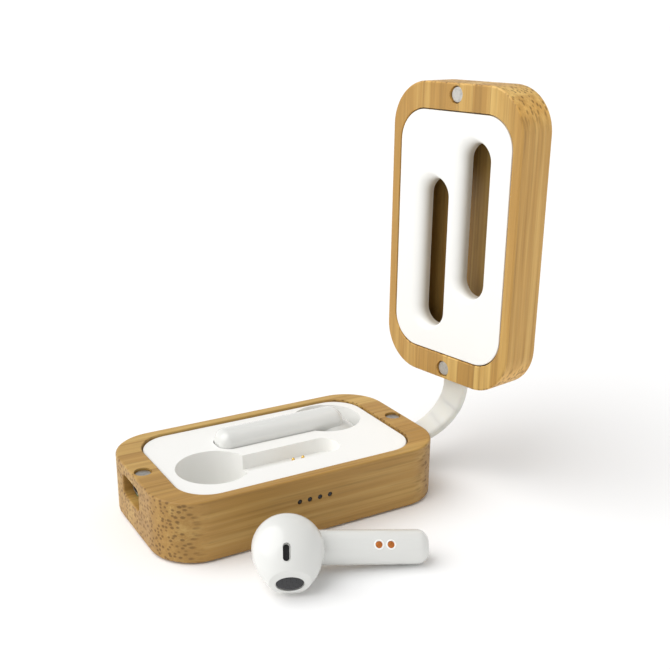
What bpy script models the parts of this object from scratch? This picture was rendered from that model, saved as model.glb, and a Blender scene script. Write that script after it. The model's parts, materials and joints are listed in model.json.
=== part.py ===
"""Wireless earbuds case: wooden base and lid joined by a strap, with two earbuds.

Written in millimetres, built in metres, +Z up. The base stands on Z = 0 with its length along X;
the strap leaves it at +X, and the lid stands upright beyond the strap.
"""

import math

import bmesh
import bpy
from mathutils import Matrix, Vector

MM = 0.001

# Case
CASE_LENGTH = 80.0
CASE_WIDTH = 45.0
BASE_HEIGHT = 16.2
LID_HEIGHT = 11.8
CORNER = 11.8
SIDE_RIM = 2.8
END_RIM = 6.9
INSERT_CORNER = 8.8
FLOOR = 2.4
FIT = 0.35
CLOSING_GAP = 0.3

# Base tray
TRAY_RECESS = 0.55
TRAY_PLATE = 1.6
WELL_WALL = 1.0
POCKET_FIT = 0.65
WELL_LIP = 0.5
POCKET_FLOOR_Z = 3.9
SLOT_FLOOR_Z = 11.6
STEM_AXIS_Y = 6.9
STEM_AXIS_Z = 15.8
BUD_SHIFT = 7.3

# Earbud: s runs from the head to the stem tip, t towards the sound outlet, n out of the contacts
BUD_LENGTH = 43.0
STEM_WIDTH = 8.2
STEM_DEPTH = 7.2
STEM_START = 5.5
HEAD_LENGTH = 16.8
HEAD_BACK = 7.2
HEAD_REACH = 10.7
HEAD_RADIUS = 8.4
HEAD_DEPTH = 11.5
NOZZLE_TILT = math.radians(11.0)
SHELL_WALL = 1.1
CONTACT_AT = (BUD_LENGTH - 12.8, BUD_LENGTH - 9.9)
CONTACT_WIDTH = 1.65

# Lid insert
LIP = 1.1
LID_SLOT_FIT = 0.5

# Magnets, port and charge lights
MAGNET_WIDTH = 4.0
MAGNET_HEIGHT = 1.6
MAGNET_INSET = 2.9
MAGNET_RECESS = 0.5
PORT_WIDTH = 11.5
PORT_HEIGHT = 5.8
PORT_Y = 2.0
PORT_Z = 10.2
LIGHT_PITCH = 2.87
LIGHT_X = -0.7
LIGHT_Z = 9.85
LIGHT_HOLE = 1.3

# Spring contacts
BARREL_WIDTH = 2.0
PLUNGER_WIDTH = 0.9
PIN_TIP_Z = 14.0
PIN_TRAVEL = 1.6

# Strap
STRAP_WIDTH = 7.9
STRAP_THICK = 2.8
STRAP_EXIT_Z = 8.1
STRAP_STUB = 3.0
STRAP_LID_STUB = 6.0
STRAP_PITCH = 6.57
STRAP_GAP = 0.75

# Lid at rest, from the strap's exit to the middle of the lid's lower end
LID_OFFSET = Vector((14.75, -5.5, 19.4))
LID_YAW = math.radians(9.9)

# Loose earbud at rest
LOOSE_AT = Vector((-23.5, -31.75, 7.05))
LOOSE_HEADING = math.radians(-20.8)
LOOSE_ROLL = math.radians(39.1)
LOOSE_PITCH = math.radians(4.56)

# Derived sizes
HALF_LENGTH = CASE_LENGTH / 2
HALF_WIDTH = CASE_WIDTH / 2
OPEN_X = HALF_LENGTH - END_RIM
MAGNET_X = HALF_LENGTH - MAGNET_INSET
OPEN_Y = HALF_WIDTH - SIDE_RIM
TRAY_TOP = BASE_HEIGHT - TRAY_RECESS
POCKET_RADIUS = (HEAD_REACH + HEAD_BACK) / 2 + POCKET_FIT
HEAD_MIDDLE = (HEAD_REACH - HEAD_BACK) / 2
POCKET_SHIFT = HEAD_MIDDLE + 0.15
BUD_END_X = BUD_SHIFT + BUD_LENGTH / 2
POCKET_X = BUD_END_X - HEAD_LENGTH / 2
SLOT_END_X = BUD_END_X - BUD_LENGTH - FIT
SLOT_HALF = STEM_WIDTH / 2 + FIT
HEAD_N = STEM_AXIS_Z - BASE_HEIGHT + HEAD_DEPTH / 2 + 0.25
STRAP_HALF = STRAP_WIDTH / 2
STRAP_RADIUS = STRAP_THICK / 2
LID_PLATE = LID_HEIGHT / 2 - STRAP_RADIUS - 0.6
CELL_HALF = POCKET_X - POCKET_RADIUS - WELL_WALL - 0.8

WOOD = (0.60, 0.36, 0.15)
WOOD_LID = (0.66, 0.42, 0.19)
WHITE = (0.83, 0.82, 0.79)
CREAM = (0.80, 0.76, 0.66)
STEEL = (0.60, 0.60, 0.60)
GOLD = (0.85, 0.60, 0.25)
COPPER = (0.75, 0.32, 0.14)
BLACK = (0.02, 0.02, 0.02)
GREEN = (0.03, 0.16, 0.08)
SILICONE = (0.62, 0.63, 0.60)


def clear_scene():
    for thing in list(bpy.data.objects):
        bpy.data.objects.remove(thing, do_unlink=True)


def ring(half_x, half_y, radius, count):
    """A rounded rectangle whose flats lie at exact distances."""
    radius = min(radius, half_x, half_y)
    outer = radius / math.cos(math.pi / 4 / count)
    points = []
    for corner, (sx, sy) in enumerate(((1, 1), (-1, 1), (-1, -1), (1, -1))):
        cx = sx * (half_x - radius)
        cy = sy * (half_y - radius)
        for k in range(count):
            angle = math.pi / 2 * (corner + (k + 0.5) / count)
            points.append((cx + outer * math.cos(angle), cy + outer * math.sin(angle)))
    return points


def oval(half_x, half_y, count):
    """An ellipse of four times count points."""
    turn = [2 * math.pi * (k + 0.5) / (4 * count) for k in range(4 * count)]
    return [(half_x * math.cos(a), half_y * math.sin(a)) for a in turn]


def along(axis, height, u, v):
    """Puts a ring's point and its height on the chosen axis."""
    if axis == "X":
        return Vector((height, u, v))
    if axis == "Y":
        return Vector((u, height, v))
    return Vector((u, v, height))


def stack_mesh(name, rings, axis="Z", at=(0, 0, 0)):
    """A closed mesh through rings of equally many points, each (height, points)."""
    bm = bmesh.new()
    rows = []
    for height, points in rings:
        row = [bm.verts.new((along(axis, height, u, v) + Vector(at)) * MM) for u, v in points]
        rows.append(row)
    size = len(rows[0])
    for low, high in zip(rows, rows[1:]):
        for i in range(size):
            j = (i + 1) % size
            bm.faces.new((low[i], low[j], high[j], high[i]))
    bm.faces.new(rows[0])
    bm.faces.new(rows[-1])
    bmesh.ops.recalc_face_normals(bm, faces=bm.faces)
    if bm.calc_volume(signed=True) < 0:
        bmesh.ops.reverse_faces(bm, faces=bm.faces)
    mesh = bpy.data.meshes.new(name)
    bm.to_mesh(mesh)
    bm.free()
    mesh.shade_smooth()
    mesh.set_sharp_from_angle(angle=math.radians(34.0))
    return mesh


def levels(low, high, half_x, half_y, radius, low_edge=0.0, high_edge=0.0, steps=3, count=5):
    """Rings of a rounded block. A positive edge rounds it inwards, a negative one flares it."""
    result = []
    if low_edge:
        for k in range(steps + 1):
            angle = math.pi / 2 * (1 - k / steps)
            offset = -low_edge * (1 - math.cos(angle))
            height = low + abs(low_edge) * (1 - math.sin(angle))
            points = ring(half_x + offset, half_y + offset, radius + offset, count)
            result.append((height, points))
    else:
        result.append((low, ring(half_x, half_y, radius, count)))
    if high_edge:
        for k in range(steps + 1):
            angle = math.pi / 2 * k / steps
            offset = -high_edge * (1 - math.cos(angle))
            height = high - abs(high_edge) * (1 - math.sin(angle))
            points = ring(half_x + offset, half_y + offset, radius + offset, count)
            result.append((height, points))
    else:
        result.append((high, ring(half_x, half_y, radius, count)))
    return result


def flared(low, high, half_x, half_y, radius, flare, count=5):
    """Rings of a cutter with a rounded lip at its top, carried on above it."""
    rings = levels(low, high, half_x, half_y, radius, high_edge=-flare, count=count)
    top = rings[-1][1]
    return rings + [(high + 2.0, top)]


def frame_matrix(x_axis, y_axis, origin):
    """A placing matrix from two axes; the origin is in millimetres."""
    z_axis = x_axis.cross(y_axis)
    turn = Matrix((x_axis, y_axis, z_axis)).transposed().to_4x4()
    return Matrix.Translation(origin * MM) @ turn


def joint_empty(name, at, parent=None):
    """An empty on a joint; its children turn or slide with it."""
    empty = bpy.data.objects.new(name, None)
    empty.empty_display_size = 3 * MM
    bpy.context.scene.collection.objects.link(empty)
    world = Matrix.Translation(Vector(at) * MM)
    if parent is not None:
        empty.parent = parent
        world = PLACES[parent.name].inverted() @ world
    empty.matrix_local = world
    PLACES[name] = Matrix.Translation(Vector(at) * MM)
    return empty


def node(name, mesh, colour, rough, parent=None, place=None, metal=0.0):
    """One named piece with its own material, placed in the world and hung on its joint."""
    piece = bpy.data.objects.new(name, mesh)
    bpy.context.scene.collection.objects.link(piece)
    world = place or Matrix.Identity(4)
    if parent is not None:
        piece.parent = parent
        piece.matrix_local = PLACES[parent.name].inverted() @ world
    else:
        piece.matrix_local = world
    material = bpy.data.materials.new(name + "_material")
    material.use_nodes = True
    shader = material.node_tree.nodes["Principled BSDF"]
    shader.inputs["Base Color"].default_value = (*colour, 1.0)
    shader.inputs["Roughness"].default_value = rough
    shader.inputs["Metallic"].default_value = metal
    material.diffuse_color = (*colour, 1.0)
    mesh.materials.clear()
    mesh.materials.append(material)
    return piece


def combine(piece, name, mesh, operation="DIFFERENCE", place=None):
    """Cuts a helper shape out of a piece or adds it. The helper shares the piece's frame."""
    helper = bpy.data.objects.new(name, mesh)
    bpy.context.scene.collection.objects.link(helper)
    helper.parent = piece
    helper.matrix_local = place or Matrix.Identity(4)
    helper.hide_render = True
    helper.display_type = "WIRE"
    modifier = piece.modifiers.new(name, "BOOLEAN")
    modifier.operation = operation
    modifier.solver = "EXACT"
    modifier.object = helper
    return modifier


def disc(name, width, low, high, axis="Z", at=(0, 0, 0), edge=0.0, count=5):
    """A round post or hole between two heights."""
    half = width / 2
    rings = levels(low, high, half, half, half, high_edge=edge, count=count)
    return stack_mesh(name, rings, axis, at)


def block(name, half_x, half_y, radius, low, high, axis="Z", at=(0, 0, 0), edge=0.0, count=2):
    """A rounded block between two heights."""
    rings = levels(low, high, half_x, half_y, radius, edge, edge, steps=2, count=count)
    return stack_mesh(name, rings, axis, at)


def build_base_shell():
    rings = levels(0, BASE_HEIGHT, HALF_LENGTH, HALF_WIDTH, CORNER, 1.0, 0.6, count=7)
    shell = node("base_shell", stack_mesh("base_shell", rings), WOOD, 0.55)
    room = levels(FLOOR, BASE_HEIGHT + 2, OPEN_X, OPEN_Y, INSERT_CORNER, count=6)
    combine(shell, "cut_base_room", stack_mesh("cut_base_room", room))
    for side, label in ((-1, "left"), (1, "right")):
        hole = disc("hole", MAGNET_WIDTH + 2 * CLOSING_GAP, magnet_floor(BASE_HEIGHT), BASE_HEIGHT + 2,
                    at=(side * MAGNET_X, 0, 0), count=6)
        combine(shell, "cut_base_magnet_" + label, hole)
    window = levels(-HALF_LENGTH - 2, -OPEN_X + 2, PORT_WIDTH / 2, PORT_HEIGHT / 2, 1.4, count=3)
    combine(shell, "cut_port", stack_mesh("cut_port", window, "X", (0, PORT_Y, PORT_Z)))
    slot = levels(OPEN_X - 2, HALF_LENGTH + 2, STRAP_HALF + 0.3, STRAP_RADIUS + 0.3, 1.0, count=3)
    combine(shell, "cut_base_strap", stack_mesh("cut_base_strap", slot, "X", (0, 0, STRAP_EXIT_Z)))
    for index in range(4):
        hole = disc("hole", LIGHT_HOLE, -HALF_WIDTH - 2, -OPEN_Y + 2, "Y", (light_x(index), 0,
                LIGHT_Z), count=3)
        combine(shell, "cut_light_" + str(index + 1), hole)
    return shell


def magnet_floor(top):
    return top - MAGNET_RECESS - MAGNET_HEIGHT - 0.3


def light_x(index):
    return LIGHT_X + (index - 1.5) * LIGHT_PITCH


def well_stack(name, side, low_pocket, low_slot, grow, flare):
    """The pocket and slot shapes of one well. Side is 1 for the back well, -1 for the front."""
    axis_y = side * STEM_AXIS_Y
    pocket_at = (side * POCKET_X, axis_y + POCKET_SHIFT, 0)
    radius = POCKET_RADIUS + grow
    end_x = -side * (-SLOT_END_X + grow)
    middle = (end_x + pocket_at[0]) / 2
    half = abs(end_x - pocket_at[0]) / 2
    slot_y = SLOT_HALF + grow
    if flare:
        pocket = flared(low_pocket, TRAY_TOP, radius, radius, radius, flare, count=8)
        slot = flared(low_slot, TRAY_TOP, half, slot_y, 3.6, flare, count=4)
    else:
        top = TRAY_TOP - TRAY_PLATE / 2
        pocket = levels(low_pocket, top, radius, radius, radius, count=8)
        slot = levels(low_slot, top, half, slot_y, 3.6 + grow, count=4)
    return (
        stack_mesh(name + "_pocket", pocket, at=pocket_at),
        stack_mesh(name + "_slot", slot, at=(middle, axis_y, 0)),
    )


def build_base_tray():
    low = TRAY_TOP - TRAY_PLATE
    rings = levels(low, TRAY_TOP, OPEN_X - FIT, OPEN_Y - FIT, INSERT_CORNER - FIT, 0, 0.4, steps=2, count=6)
    tray = node("base_tray", stack_mesh("base_tray", rings), WHITE, 0.45)
    for side, label in ((1, "back"), (-1, "front")):
        pocket, slot = well_stack("wall_" + label, side, POCKET_FLOOR_Z - WELL_WALL,
                                  SLOT_FLOOR_Z - WELL_WALL, WELL_WALL, 0)
        combine(tray, "add_pocket_" + label, pocket, "UNION")
        combine(tray, "add_slot_" + label, slot, "UNION")
    for side, label in ((1, "back"), (-1, "front")):
        pocket, slot = well_stack("well_" + label, side, POCKET_FLOOR_Z, SLOT_FLOOR_Z, 0, WELL_LIP)
        combine(tray, "cut_pocket_" + label, pocket)
        combine(tray, "cut_slot_" + label, slot)
        for number, x in enumerate(contact_positions(side)):
            hole = disc("hole", BARREL_WIDTH + 0.6, SLOT_FLOOR_Z - WELL_WALL - 1, SLOT_FLOOR_Z + 1,
                        at=(x, side * STEM_AXIS_Y, 0), count=4)
            combine(tray, "cut_pin_" + label + "_" + str(number + 1), hole)
    return tray


def contact_positions(side):
    return [side * (BUD_END_X - at) for at in CONTACT_AT]


def build_base_electronics():
    node("battery_cell", block("battery_cell", CELL_HALF, 15.0, 1.2, 2.8, 5.9, edge=0.3), (0.35, 0.38,
            0.42), 0.4)
    node("main_board", block("main_board", CELL_HALF + 0.3, 15.5, 1.0, 6.3, 7.1), GREEN, 0.5)
    node("charge_chip", block("charge_chip", 2.2, 2.2, 0.2, 7.4, 8.3, at=(3.8 - CELL_HALF, 1.0, 0)),
            BLACK, 0.5)
    node("lid_sensor", block("lid_sensor", 1.4, 1.0, 0.2, 7.4, 8.1, at=(CELL_HALF - 2.6, -12.6, 0)),
            BLACK, 0.5)
    port_in = -OPEN_X + 1.6
    node("port_board", block("port_board", 2.9, 3.8, 0.4, PORT_Z - 2.5, PORT_Z - 1.95,
                             at=(port_in - 3.2, PORT_Y, 0)), GREEN, 0.5)
    outer = levels(port_in - 6.4, port_in, 4.5, 1.6, 1.55, count=4)
    port = node("port_shell", stack_mesh("port_shell", outer, "X", (0, PORT_Y, PORT_Z)), STEEL, 0.3,
            metal=1.0)
    mouth = levels(port_in - 8, port_in - 0.6, 4.15, 1.25, 1.2, count=4)
    combine(port, "cut_port_mouth", stack_mesh("cut_port_mouth", mouth, "X", (0, PORT_Y, PORT_Z)))
    tongue = levels(port_in - 5.9, port_in - 0.9, 3.2, 0.35, 0.3, count=2)
    node("port_tongue", stack_mesh("port_tongue", tongue, "X", (0, PORT_Y, PORT_Z)), BLACK, 0.5)
    wall_in = -OPEN_Y
    board = levels(wall_in + 0.7, wall_in + 1.3, 6.4, 1.7, 0.4, count=2)
    node("light_board", stack_mesh("light_board", board, "Y", (LIGHT_X, 0, LIGHT_Z)), GREEN, 0.5)
    for index in range(4):
        pipe = disc("light", LIGHT_HOLE - 0.6, -HALF_WIDTH + 0.5, wall_in + 0.4, "Y",
                    (light_x(index), 0, LIGHT_Z), count=2)
        node("charge_light_" + str(index + 1), pipe, (0.10, 0.10, 0.10), 0.3)


def build_magnets(prefix, top, parent=None, place=None):
    for side, label in ((-1, "left"), (1, "right")):
        high = top - MAGNET_RECESS
        magnet = disc("magnet", MAGNET_WIDTH, high - MAGNET_HEIGHT, high, at=(side * MAGNET_X, 0, 0),
                edge=0.15,
                      count=6)
        node(prefix + "_magnet_" + label, magnet, STEEL, 0.3, parent, place, 1.0)


def build_spring_contacts():
    for side, label in ((-1, "front"), (1, "back")):
        xs = contact_positions(side)
        y = side * STEM_AXIS_Y
        middle = sum(xs) / 2
        floor = SLOT_FLOOR_Z - WELL_WALL
        holder = node("contact_block_" + label,
                      block("contact_block", 3.6, 2.6, 0.4, 7.4, floor - 0.3, at=(middle, y, 0)), BLACK, 0.6)
        for number, x in enumerate(xs):
            tag = label + "_" + str(number + 1)
            hole = disc("hole", BARREL_WIDTH + 0.3, 5, 13, at=(x, y, 0), count=4)
            combine(holder, "cut_block_" + tag, hole)
            top = SLOT_FLOOR_Z + 0.3
            barrel = node("contact_barrel_" + tag, disc("barrel", BARREL_WIDTH, 7.5, top, at=(x, y, 0),
                    count=4),
                          GOLD, 0.3, metal=1.0)
            bore = disc("bore", PLUNGER_WIDTH + 0.5, 7.9, top + 1, at=(x, y, 0), count=4)
            combine(barrel, "cut_barrel_" + tag, bore)
            tip = PIN_TIP_Z if side < 0 else STEM_AXIS_Z - STEM_DEPTH / 2 - 0.2
            low = tip - 4.1 if side < 0 else 8.9
            joint = joint_empty("contact_joint_" + tag, (x, y, tip))
            plunger = disc("plunger", PLUNGER_WIDTH, low - tip, 0, edge=0.4, count=3)
            node("contact_pin_" + tag, plunger, GOLD, 0.25, joint,
                 Matrix.Translation(Vector((x, y, tip)) * MM), 1.0)


def strap_width_at(run, end):
    """Half width where the round end's plan corners begin, run being the distance from the start."""
    corner = 3.0
    past = max(0.0, run - (end - corner))
    return STRAP_HALF - corner + math.sqrt(max(0.0, corner * corner - past * past))


def strap_rings(start, hinge):
    """Rings of a strap piece that starts flat and ends round about a hinge."""
    end = hinge + STRAP_RADIUS
    rings = []
    for step, inset, thin in ((0.0, 1.3, 0.25), (0.3, 0.75, 0.0), (0.9, 0.25, 0.0), (1.6, 0.0, 0.0)):
        half = min(STRAP_HALF - inset, strap_width_at(start + step, end))
        rings.append((start + step, ring(half, STRAP_RADIUS - thin, 0.8, 3)))
    for angle in (0, 25, 45, 62, 78):
        run = hinge + STRAP_RADIUS * math.sin(math.radians(angle))
        thick = STRAP_RADIUS * math.cos(math.radians(angle))
        half = strap_width_at(run, end)
        rings.append((run, ring(half, thick, min(0.8, thick * 0.8), 3)))
    return rings


def strap_geometry():
    """Hinge points and the direction and width axes of each piece at rest, in millimetres."""
    x = Vector((1, 0, 0))
    y = Vector((0, 1, 0))
    z = Vector((0, 0, 1))
    exit_at = Vector((HALF_LENGTH, 0, STRAP_EXIT_Z))
    lid_width = Vector((-math.sin(LID_YAW), math.cos(LID_YAW), 0))
    first = exit_at + STRAP_STUB * x
    last = exit_at + LID_OFFSET - STRAP_LID_STUB * z
    chord = last - first
    span = chord.length
    chord.normalize()
    bulge = (x - z) - (x - z).dot(chord) * chord
    bulge.normalize()
    cosine = (span / STRAP_PITCH - 1) / 2
    sine = math.sqrt(1 - cosine * cosine)
    runs = [cosine * chord + sine * bulge, chord.copy(), cosine * chord - sine * bulge]
    points = [first, first + STRAP_PITCH * runs[0], last - STRAP_PITCH * runs[2], last]
    widths = []
    for index, run in enumerate(runs):
        share = (index + 1) / 4
        width = (1 - share) * y + share * lid_width
        width = width - width.dot(run) * run
        widths.append(width.normalized())
    return points, runs, widths, lid_width


def build_strap():
    points, runs, widths, lid_width = strap_geometry()
    hinge = HALF_LENGTH + STRAP_STUB
    grip = [
        (OPEN_X - 2.1, ring(5.5, STRAP_RADIUS + 0.3, 0.6, 3)),
        (OPEN_X - 0.3, ring(5.5, STRAP_RADIUS + 0.3, 0.6, 3)),
        (OPEN_X - 0.3, ring(STRAP_HALF, STRAP_RADIUS, 0.8, 3)),
    ]
    rings = grip + strap_rings(hinge - 2.0, hinge)[4:]
    mesh = stack_mesh("strap_base_end", rings, "X", (0, 0, STRAP_EXIT_Z))
    node("strap_base_end", mesh, SILICONE, 0.5)
    joint = None
    for index, run in enumerate(runs):
        tag = str(index + 1)
        joint = joint_empty("strap_hinge_" + tag, points[index], joint)
        rings = strap_rings(STRAP_RADIUS + STRAP_GAP, STRAP_PITCH)
        place = frame_matrix(run, widths[index], points[index])
        node("strap_link_" + tag, stack_mesh("strap_link_" + tag, rings, "X"), SILICONE, 0.5, joint, place)
    return joint_empty("strap_hinge_4", points[3], joint), lid_width


def lid_place(lid_width):
    """The lid's frame: X away from the strap, Y across, Z out of its inner face."""
    up = Vector((0, 0, 1))
    face = up.cross(lid_width)
    lower_end = Vector((HALF_LENGTH, 0, STRAP_EXIT_Z)) + LID_OFFSET
    centre = lower_end + HALF_LENGTH * up + LID_HEIGHT / 2 * face
    return frame_matrix(up, lid_width, centre)


def build_lid(joint, lid_width):
    place = lid_place(lid_width)
    rings = levels(-LID_HEIGHT, 0, HALF_LENGTH, HALF_WIDTH, CORNER, 1.0, 0.6, count=7)
    shell = node("lid_shell", stack_mesh("lid_shell", rings), WOOD_LID, 0.55, joint, place)
    room = levels(FLOOR - LID_HEIGHT, 2, OPEN_X, OPEN_Y, INSERT_CORNER, count=6)
    combine(shell, "cut_lid_room", stack_mesh("cut_lid_room", room))
    for side, label in ((-1, "left"), (1, "right")):
        hole = disc("hole", MAGNET_WIDTH + 2 * CLOSING_GAP, magnet_floor(0), 2, at=(side * MAGNET_X, 0,
                0), count=6)
        combine(shell, "cut_lid_magnet_" + label, hole)
    slot = levels(-HALF_LENGTH - 2, -OPEN_X + 2, STRAP_HALF + 0.3, STRAP_RADIUS + 0.3, 1.0, count=3)
    combine(shell, "cut_lid_strap", stack_mesh("cut_lid_strap", slot, "X", (0, 0, -LID_HEIGHT / 2)))
    plate_rings = levels(-LID_PLATE - 0.1, -0.1, OPEN_X - FIT, OPEN_Y - FIT, INSERT_CORNER - FIT, 0, 0.3,
                         steps=2, count=6)
    plate = node("lid_plate", stack_mesh("lid_plate", plate_rings), WHITE, 0.45, joint, place)
    for side, label in ((1, "back"), (-1, "front")):
        low_x = SLOT_END_X - LID_SLOT_FIT
        high_x = BUD_END_X - STEM_START + 2.4
        middle = -side * (low_x + high_x) / 2
        half = (high_x - low_x) / 2
        half_y = STEM_WIDTH / 2 + LID_SLOT_FIT
        rings = flared(-LID_PLATE - 2, -0.1, half, half_y, half_y, LIP, count=5)
        cutter = stack_mesh("cut_lid_slot", rings, at=(middle, side * STEM_AXIS_Y, 0))
        combine(plate, "cut_lid_slot_" + label, cutter)
    build_magnets("lid", 0, joint, place)
    thick = STRAP_RADIUS
    rings = [(-HALF_LENGTH - STRAP_LID_STUB + STRAP_RADIUS + STRAP_GAP + step, ring(STRAP_HALF - inset,
            thick - thin, 0.8, 3))
             for step, inset, thin in ((0.0, 1.3, 0.25), (0.3, 0.75, 0.0), (0.9, 0.25, 0.0), (1.6, 0.0, 0.0))]
    rings.append((-OPEN_X + 0.3, ring(STRAP_HALF, thick, 0.8, 3)))
    rings.append((-OPEN_X + 0.3, ring(5.5, thick + 0.2, 0.6, 3)))
    rings.append((-OPEN_X + 2.1, ring(5.5, thick + 0.2, 0.6, 3)))
    mesh = stack_mesh("strap_lid_end", rings, "X", (0, 0, -LID_HEIGHT / 2))
    node("strap_lid_end", mesh, SILICONE, 0.5, joint, place)


def head_rings(inset, count):
    """Rings of the head along t, about its centre: a flattened ball drawn out to the sound outlet."""
    wide = HEAD_RADIUS - inset
    deep = HEAD_DEPTH / 2 - inset
    low = HEAD_BACK + HEAD_MIDDLE - 0.55 - inset
    high = HEAD_REACH - HEAD_MIDDLE + 0.55 - inset
    rings = []
    for angle in (12, 27, 43, 60, 78, 96, 112):
        turn = math.radians(angle)
        scale = math.sin(turn) ** 0.92
        rings.append((-low * math.cos(turn), oval(wide * scale, deep * scale, count)))
    start_height = -low * math.cos(math.radians(112))
    for share, wide_to, deep_to in ((0.52, 0.76, 0.80), (0.80, 0.56, 0.62), (0.93, 0.48, 0.53), (1.0,
            0.43, 0.47)):
        height = start_height + (high - start_height) * share
        rings.append((height, oval(wide * wide_to, deep * deep_to, count)))
    return rings


def stem_rings(inset, start, end, edge, count=4):
    half_t = STEM_WIDTH / 2 - inset
    half_n = STEM_DEPTH / 2 - inset
    return levels(start, end, half_t, half_n, min(half_t, half_n) * 0.92, edge, edge, steps=4, count=count)


def mirrored(mesh, side):
    """The same shape for side 1, or its mirror image across t for side -1."""
    if side < 0:
        mesh.transform(Matrix.Diagonal((1, -1, 1, 1)))
        mesh.flip_normals()
    return mesh


def build_bud(label, side, parent, place):
    """One earbud, X along s and Z along n. Y is along t for side 1, against it for side -1."""
    centre = Vector((HEAD_LENGTH / 2, side * (HEAD_MIDDLE - 0.55), HEAD_N))
    tilt = Matrix.Translation(centre * MM) @ Matrix.Rotation(side * NOZZLE_TILT, 4, "X")
    back = tilt.inverted()
    head = node("head_" + label, mirrored(stack_mesh("head", head_rings(0, 6), "Y"), side), WHITE, 0.3,
            parent,
                place @ tilt)
    inner = mirrored(stack_mesh("cut_head_room", head_rings(SHELL_WALL, 4)[:8], "Y"), side)
    combine(head, "cut_head_room_" + label, inner)
    bore = mirrored(stack_mesh("cut_outlet_bore", [(2.0, oval(2.6, 1.5, 4)), (12.0, oval(2.6, 1.5,
            4))], "Y"), side)
    combine(head, "cut_outlet_bore_" + label, bore)
    seat_low = HEAD_REACH - HEAD_MIDDLE + 0.55 - 1.3
    seat = [(seat_low, oval(3.3, 2.2, 5)), (12.0, oval(3.3, 2.2, 5))]
    combine(head, "cut_outlet_seat_" + label, mirrored(stack_mesh("cut_outlet_seat", seat, "Y"), side))
    trench = stack_mesh("cut_stem_seat", stem_rings(-0.3, STEM_START - 0.3, 22.0, 2.4), "X")
    combine(head, "cut_stem_seat_" + label, trench, place=back)
    vent = levels(8.0, 13.0, 0.9, 2.1, 0.9, count=3)
    combine(head, "cut_vent_" + label, mirrored(stack_mesh("cut_vent", vent, at=(7.3, 2.7, 0)), side),
            place=back)

    stem = node("stem_" + label, stack_mesh("stem", stem_rings(0, STEM_START, BUD_LENGTH, 2.9), "X"),
            WHITE, 0.3,
                parent, place)
    room = stack_mesh("cut_stem_room", stem_rings(SHELL_WALL, STEM_START + 1.8, BUD_LENGTH - 1.6, 1.4,
            2), "X")
    combine(stem, "cut_stem_room_" + label, room)
    opening = block("cut_stem_mouth", 2.9, 2.3, 0.6, 1.0, 5.0, at=(STEM_START + 5.2, 0, 0))
    combine(stem, "cut_stem_mouth_" + label, opening)
    for number, at in enumerate(CONTACT_AT):
        tag = label + "_" + str(number + 1)
        hole = disc("hole", CONTACT_WIDTH + 0.6, 1.5, 5, at=(at, 0, 0), count=4)
        combine(stem, "cut_contact_" + tag, hole)
        contact = disc("contact", CONTACT_WIDTH, 0.6, STEM_DEPTH / 2 - 0.1, at=(at, 0, 0), edge=0.15, count=4)
        node("bud_contact_" + tag, contact, COPPER, 0.35, parent, place, 1.0)

    grille = [(seat_low + 0.3, oval(3.0, 1.9, 5)), (seat_low + 0.9, oval(3.0, 1.9, 5))]
    node("grille_" + label, mirrored(stack_mesh("grille", grille, "Y"), side), (0.05, 0.05, 0.05), 0.6,
            parent,
         place @ tilt, 0.3)
    vent = levels(9.9, 10.4, 0.6, 1.8, 0.6, count=3)
    node("vent_mesh_" + label, mirrored(stack_mesh("vent_mesh", vent, at=(7.3, 2.7, 0)), side), BLACK,
            0.6, parent,
         place)
    speaker = mirrored(disc("speaker", 6.4, 3.4, 5.4, "Y"), side)
    node("speaker_" + label, speaker, STEEL, 0.4, parent, place @ tilt, 0.6)
    cell = disc("cell", 7.6, STEM_DEPTH / 2 + 0.7, STEM_DEPTH / 2 + 4.0, at=(HEAD_LENGTH / 2, -0.9, 0))
    node("bud_cell_" + label, mirrored(cell, side), STEEL, 0.4, parent, place, 0.8)
    low = STEM_START + 7.1
    high = BUD_LENGTH - 3.2
    board = block("board", (high - low) / 2, 2.0, 0.3, -0.4, 0.3, at=((low + high) / 2, 0, 0))
    node("bud_board_" + label, board, GREEN, 0.5, parent, place)


def build_buds():
    seated_at = Vector((BUD_END_X, STEM_AXIS_Y, STEM_AXIS_Z))
    joint = joint_empty("seated_bud_joint", seated_at)
    build_bud("seated", 1, joint, frame_matrix(Vector((-1, 0, 0)), Vector((0, 1, 0)), seated_at))
    joint = joint_empty("loose_bud_joint", LOOSE_AT)
    flat = math.cos(LOOSE_PITCH)
    run = Vector((math.cos(LOOSE_HEADING) * flat, math.sin(LOOSE_HEADING) * flat, -math.sin(LOOSE_PITCH)))
    level = Vector((math.sin(LOOSE_HEADING), -math.cos(LOOSE_HEADING), 0))
    rise = run.cross(level) if run.cross(level).z > 0 else level.cross(run)
    outward = level * math.cos(LOOSE_ROLL) + rise * math.sin(LOOSE_ROLL)
    build_bud("loose", -1, joint, frame_matrix(run, outward.cross(run), LOOSE_AT))


PLACES = {}


def main():
    clear_scene()
    build_base_shell()
    build_base_tray()
    build_base_electronics()
    build_magnets("base", BASE_HEIGHT)
    build_spring_contacts()
    joint, lid_width = build_strap()
    build_lid(joint, lid_width)
    build_buds()
    bpy.context.view_layer.update()


main()
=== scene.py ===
"""Wireless earbuds case in bamboo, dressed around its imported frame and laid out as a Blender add-on."""

import json
import math

import bmesh
import bpy
from bpy.props import FloatProperty, FloatVectorProperty, IntProperty, PointerProperty
from mathutils import Matrix, Vector


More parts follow.
